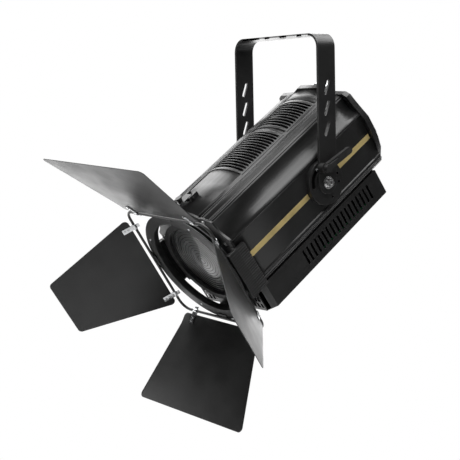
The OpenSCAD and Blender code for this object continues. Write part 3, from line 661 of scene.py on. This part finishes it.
# %% Curves and grooves
def spline(points, steps=8):
    """A Catmull-Rom curve: cubics through the points, whose slopes follow their neighbours."""
    p = np.asarray(points, float)
    p = np.concatenate([2 * p[:1] - p[1:2], p, 2 * p[-1:] - p[-2:-1]])
    t = np.linspace(0, 1, steps, endpoint=False)[None, :, None]
    a, b, c, d = (p[i:len(p) - 3 + i, None] for i in range(4))
    curve = 0.5 * (2 * b + (c - a) * t + (2 * a - 5 * b + 4 * c - d) * t**2
                   + (3 * b - a - 3 * c + d) * t**3)
    return np.concatenate([curve.reshape(-1, p.shape[1]), p[-2:-1]])


def resampled(line, step):
    """Points evenly spaced along the line, about a step apart."""
    along = np.concatenate([[0], np.cumsum(np.linalg.norm(np.diff(line, axis=0), axis=1))])
    at = np.linspace(0, along[-1], int(along[-1] / step) + 1)
    return np.stack([np.interp(at, along, line[:, i]) for i in range(2)], -1)


def grooved(line, spot, radius, steps=7):
    """The line near a spot swapped for an arc, inside the wall, of a circle centred on the line."""
    centre = line[np.argmin(np.hypot(*(line - spot).T))]
    away = line - centre
    within = np.flatnonzero(np.hypot(away[:, 0], away[:, 1]) < radius)
    first, last = within[0] - 1, within[-1] + 1
    start, end = (math.atan2(away[i, 1], away[i, 0]) for i in (first, last))
    a = np.linspace(start, start - (start - end) % (2 * math.pi), steps)
    notch = centre + radius * np.stack([np.cos(a), np.sin(a)], -1)
    return np.concatenate([line[:first + 1], notch, line[last:]])


# %% [markdown]
# The housing is one aluminium extrusion: the same outline all along the lamp, with an arched top,
# a cove below it, fine ribs and a recessed side panel. So it is worked out as that outline
# carried straight back. The cove is a soft curve through a few points, the ribs are grooves cut
# by small circles, and the cells above the two windows in the top are left out. A wall of 3 mm is
# then given inwards.

# %% The housing
ARCH_R = 119.0
ARCH_W = -16.0
WINDOW_U = 46.5
WINDOWS = ((-100.0, 10.0), (25.0, 102.0))
LENGTH = (-218.0, 140.0)
WALL = 3.0


def housing_outline():
    """Right half of the extrusion from the middle of the floor to the crown, then its mirror."""
    low = np.concatenate([[(0, -62)], arc((88, -45), 17, -90, 8, 18),
                          [(103.2, -40.6), (103.2, 42.6), (104.9, 44.6), (104.6, 47.2)]])
    cove = spline([(104.6, 47.2), (102, 50.6), (97, 54.6), (91.6, 60), (87, 67), (84, 75),
                   (82.6, 82.4)], 8)
    brow = spline([(82.6, 82.4), (81, 85), (76, 87.3), (66, 90.2), (56, 91.8), (52.5, 92)], 6)
    line = resampled(np.concatenate([low, cove[1:], brow[1:]]), 0.6)
    spots = [((104.2 - 2.6 * i, -47.5 - 5 * i), 1.4) for i in (2, 1, 0)] + [((81.2, 86.4), 1.9)]
    spots += [((74, 87.9), 0.8), ((60, 91.3), 1.0)]
    for centre, radius in spots:
        line = grooved(line, centre, radius)
    u = np.concatenate([[49.6, 48.2], np.linspace(WINDOW_U, 0, 24)])
    crown = np.stack([u, ARCH_W + np.sqrt(ARCH_R**2 - u**2)], -1)
    valley = arc((51.4, 93.2), 2.4, -35, -165, 6)
    half = np.concatenate([line[:-1], valley, crown])
    return np.concatenate([half, half[-2:0:-1] * (-1, 1)])


def extruded(outline, stops, open_cells):
    """The outline repeated at each stop along the lamp; cells that open_cells marks are left out."""
    points = np.concatenate([np.insert(outline, 1, v, axis=1) for v in stops])
    middle_v = (stops[1:] + stops[:-1]) / 2
    middle = (outline + np.roll(outline, -1, 0)) / 2
    keep = ~open_cells(middle[None, :, 0], middle_v[:, None], middle[None, :, 1]).ravel()
    every = cells(len(stops), len(outline), close_cols=True)
    return in_frame(points, HEAD), [face for face, kept in zip(every, keep) if kept]


def over_window(u, v, w):
    """True above either window in the top of the housing."""
    in_length = sum(((v > first) & (v < last)) for first, last in WINDOWS) > 0
    return in_length & (np.abs(u) < WINDOW_U) & (w > 60)


outline = housing_outline()
stops = np.array(sorted([*LENGTH, *(v for window in WINDOWS for v in window)]))
housing = make_piece("housing", [extruded(outline, stops, over_window)], "housing_shell", sharp=26)
add_modifier(housing, "SOLIDIFY", thickness=WALL * MM, offset=-1.0)
count(housing)

# %% [markdown]
# Behind the vents of the electronics box little light reaches the boards, so the shade there is
# painted in: a thin black sheet stands inside each wall. Its black throws no light back at an
# angle, so it has no gloss.

# %% Painted shade behind the vents
VENT_SHADE_PLACING = (HEAD[0], HEAD[2], HEAD[1], HEAD[3])
vent_shade_outline = rounded([(-200, -109), (108, -109), (108, -66), (-200, -66)], 3)
# a near-black without gloss, for painted shade inside the lamp
SHADE_BLACK = moulded("painted_shade_black", grey(0.002), 0.9)
shade_black_shader = SHADE_BLACK.node_tree.nodes["Principled BSDF"]
shade_black_shader.inputs["Specular IOR Level"].default_value = 0.0
VENT_SHADE_U = 88
vent_shade_sheets = [slab(vent_shade_outline, u - 0.5, u + 0.5, 0.2, VENT_SHADE_PLACING) for u in (-VENT_SHADE_U, VENT_SHADE_U)]
vent_shade = make_piece("painted_vent_shade", vent_shade_sheets, body="head", slot="gasket_rubber")
# the sheets get the near-black without gloss: painted shade behind the vents
vent_shade.data.materials[0] = SHADE_BLACK
count(vent_shade)

# %% [markdown]
# At the front, each side of the lamp ends in a ribbed block that carries the accessory channel.
# It is a die casting, so its ribs are soft waves: the block's outline is a cosine along its outer
# face, carried rearward.

# %% The ribbed side blocks
RIB_PITCH = 4.5
RIB_DEPTH = 0.4
rib_w = np.linspace(-58, 32, 241)
ribs = np.stack([112.4 + RIB_DEPTH * np.cos(2 * math.pi * rib_w / RIB_PITCH), rib_w], -1)
block = np.concatenate([ribs, [(105.3, 32), (105.3, -58)]])
blocks = [slab(block * (side, 1), -243.4, -204.0, 0.3, HEAD) for side in (1, -1)]
count(make_piece("side_blocks", blocks, body="head", slot="black_paint", sharp=50))

# %% [markdown]
# Each window in the top is closed by a curved louvre plate. It is stamped from sheet: bars run
# across the lamp between slots, and every bar is pressed slightly upward along its middle, which
# is what draws the thin bright line on each one.

# %% The louvred inserts
GRILLE_U = 49.5
SLOT_U = 44.5
MARGIN = 5
SLOT_PITCH = 7.2
SLOT_SHARE = 0.6
INSERT_T = 1.4


def louvre(v_range, crown_mm=0.9):
    """A plate on the arch whose slots are missing cells; bars rise by a parabola between them."""
    first, last = v_range
    slots = round((last - first - 2 * MARGIN) / SLOT_PITCH)
    pitch = (last - first - 2 * MARGIN) / slots
    starts = first + MARGIN + (np.arange(slots) + 0.2) * pitch
    ends = (starts[:, None] + np.array([0, SLOT_SHARE * pitch])).ravel()
    bars = np.concatenate([[first], ends, [last]])
    stops, lift, is_slot = [bars[0]], [0.0], []
    for i in range(len(bars) - 1):
        steps = 1 if i % 2 else 4
        t = np.linspace(0, 1, steps + 1)[1:]
        stops += list(bars[i] + t * (bars[i + 1] - bars[i]))
        lift += list(crown_mm * 4 * t * (1 - t) * (0 < i < len(bars) - 2))
        is_slot += [i % 2 == 1] * steps
    u = np.concatenate([[-GRILLE_U], np.linspace(-SLOT_U, SLOT_U, 31), [GRILLE_U]])
    v = np.array(stops)
    radius = ARCH_R + 2 - crown_mm + np.array(lift)[:, None] * (np.abs(u)[None] < SLOT_U)
    angle = np.arcsin(u / (ARCH_R + 1))
    points = np.stack([radius * np.sin(angle), np.broadcast_to(v[:, None], radius.shape),
                       ARCH_W + radius * np.cos(angle)], -1)
    slot_here = np.array(is_slot)[:, None] & (np.abs((u[1:] + u[:-1]) / 2) < SLOT_U)[None]
    faces = [face for face, gap in zip(cells(len(v), len(u)), slot_here.ravel()) if not gap]
    return in_frame(points.reshape(-1, 3), HEAD), faces


for name, v_range in (("front", (-103.0, 13.0)), ("rear", (22.0, 105.0))):
    plate = make_piece(f"top_louvres_{name}", [louvre(v_range)], f"top_grille_{name}",
                       outward=False, sharp=50)
    add_modifier(plate, "SOLIDIFY", thickness=INSERT_T * MM, offset=-1.0)
    count(plate)

# %% [markdown]
# Under the louvres a bent black sheet paints in the shade inside the lamp, so the slots look black
# from outside. It follows the arch about 18 mm below the wall and is nearly as wide as the windows.

# %% Painted shade under the louvres
LOUVRE_SHADE_R = 98.0
LOUVRE_SHADE_T = 0.8
sweep = arc((0, ARCH_W), LOUVRE_SHADE_R, 63, 117, 30)
bent = np.concatenate([sweep, arc((0, ARCH_W), LOUVRE_SHADE_R - LOUVRE_SHADE_T, 117, 63, 30)])
sheet = slab(bent, -104, 106, 0.2, HEAD)
louvre_shade = make_piece("painted_louvre_shade", [sheet], body="head", slot="gasket_rubber")
# near-black without gloss: painted shade seen through the slots
louvre_shade.data.materials[0] = SHADE_BLACK
count(louvre_shade)

# %% [markdown]
# The parts inside the lamp, such as the light engine on its rods, stay as the CAD draws them and
# get the finish that the record names for each. They show through the lens and the grilles.

# %% CAD nodes that stay
for name, node in nodes.items():
    node.data.materials.clear()
    node.data.materials.append(FINISH[slot_of[name]])
print(sum(not node.hide_render for node in nodes.values()), "CAD nodes stay in view")

# %% [markdown]
# A product picture is taken from well back with a long lens, so that its edges stay nearly
# parallel. The camera stands before the lamp, half round to its side and a little above it, and
# is aimed slightly past the pivot.

# %% Camera
AZIMUTH, ELEVATION, ROLL = 52.66, 5.81, -1.23
AIM_RIGHT, AIM_UP = 0.0448, 0.0406
DISTANCE = 2.2514


def look_from(azimuth, elevation, roll):
    """Right, up and forward directions of a camera at a compass angle and height, turned by roll."""
    a, e, r = np.radians([azimuth, elevation, roll])
    forward = np.array([-math.sin(a) * math.cos(e), math.cos(a) * math.cos(e), -math.sin(e)])
    level = np.array([math.cos(a), math.sin(a), 0.0])
    upright = np.cross(level, forward)
    right = level * math.cos(r) + upright * math.sin(r)
    return right, np.cross(right, forward), forward


def add_camera():
    """The pivot minus the distance along the aim, looking straight ahead."""
    right, up, forward = look_from(AZIMUTH, ELEVATION, ROLL)
    aim = forward + right * AIM_RIGHT + up * AIM_UP
    data = bpy.data.cameras.new("camera")
    data.lens = 96.3
    data.sensor_width = 36.0
    data.clip_start = 0.05
    camera = bpy.data.objects.new("camera", data)
    bpy.context.scene.collection.objects.link(camera)
    place = np.eye(4)
    place[:3, 0], place[:3, 1], place[:3, 2] = right, up, -forward
    place[:3, 3] = PIVOT - aim * DISTANCE
    camera.matrix_world = Matrix(place.tolist())
    bpy.context.scene.camera = camera
    return camera


camera = add_camera()
print("camera at", [round(c, 3) for c in camera.matrix_world.translation])

# %% [markdown]
# A studio picture of a black object is a picture of its lights. White paper all round would turn
# a black lamp grey, so the world is white only where the camera sees it, and dim for the light
# that falls on the lamp. The floor is done the same way.

# %% World and floor
DIM = 0.06
FLOOR_DROP = 1.0


def by_ray(tree, seen, otherwise):
    """One shader where the camera looks, and another for all the light that falls elsewhere."""
    path = tree.nodes.new("ShaderNodeLightPath")
    choose = tree.nodes.new("ShaderNodeMixShader")
    tree.links.new(path.outputs["Is Camera Ray"], choose.inputs["Fac"])
    tree.links.new(otherwise, choose.inputs[1])
    tree.links.new(seen, choose.inputs[2])
    return choose.outputs["Shader"]


scene = bpy.context.scene
scene.view_settings.view_transform = "Standard"
world = bpy.data.worlds.new("studio")
scene.world = world
world.use_nodes = True
tree = world.node_tree
tree.nodes.clear()
white, dim = (tree.nodes.new("ShaderNodeBackground") for _ in range(2))
for background, strength in ((white, 1.0), (dim, DIM)):
    background.inputs["Color"].default_value = (1, 1, 1, 1)
    background.inputs["Strength"].default_value = strength
result = tree.nodes.new("ShaderNodeOutputWorld")
mixed = by_ray(tree, white.outputs["Background"], dim.outputs["Background"])
tree.links.new(mixed, result.inputs["Surface"])

bpy.ops.mesh.primitive_plane_add(size=14.0, location=(0, 0, PIVOT[2] - FLOOR_DROP))
floor = bpy.context.active_object
floor.name = "studio_floor"
material, tree, shader = new_finish("pale_floor", Roughness=0.8)
shader.inputs["Base Color"].default_value = (0.8, 0.8, 0.8, 1.0)
glow = tree.nodes.new("ShaderNodeEmission")
mixed = by_ray(tree, glow.outputs["Emission"], shader.outputs["BSDF"])
tree.links.new(mixed, tree.nodes["Material Output"].inputs["Surface"])
floor.data.materials.append(material)
print("floor", FLOOR_DROP, "m under the pivot")

# %% [markdown]
# The shapes come from what the black surfaces mirror, which is five soft panels: a large one
# overhead, a long one at the upper left, a small faint one low at the front left, a broad one
# behind the lamp, which the glancing faces mirror, and one low on the left side.

# %% Lights
PANELS = {  # direction from the pivot, distance, width and height in metres, power in watts
    "overhead": ((0.2, 0.0, 1.0), 1.6, 3.4, 1.9, 95),
    "left_key": ((-0.8, -0.62, -0.25), 2.0, 0.9, 0.5, 6),
    "upper_left": ((-0.85, 0.1, 0.65), 2.2, 3.4, 1.1, 40),
    "backdrop": ((-0.6, 0.8, 0.0), 2.6, 3.2, 2.4, 50),
    "low_left": ((-0.8, 0.35, -0.6), 2.0, 2.6, 1.8, 30),
}


def panel(name, direction, distance, width, height, power):
    """A soft panel that faces the pivot from a direction; its power is shared over its area."""
    data = bpy.data.lights.new(name, "AREA")
    data.shape = "RECTANGLE"
    data.size = width
    data.size_y = height
    data.energy = power
    light = bpy.data.objects.new(name, data)
    scene.collection.objects.link(light)
    away = unit(direction)
    turn = Vector(away).to_track_quat("Z", "Y").to_matrix().to_4x4()
    light.matrix_world = Matrix.Translation(Vector(PIVOT + away * distance)) @ turn
    light.visible_camera = False


for name, settings in PANELS.items():
    panel(name, *settings)
print(len(PANELS), "panels")
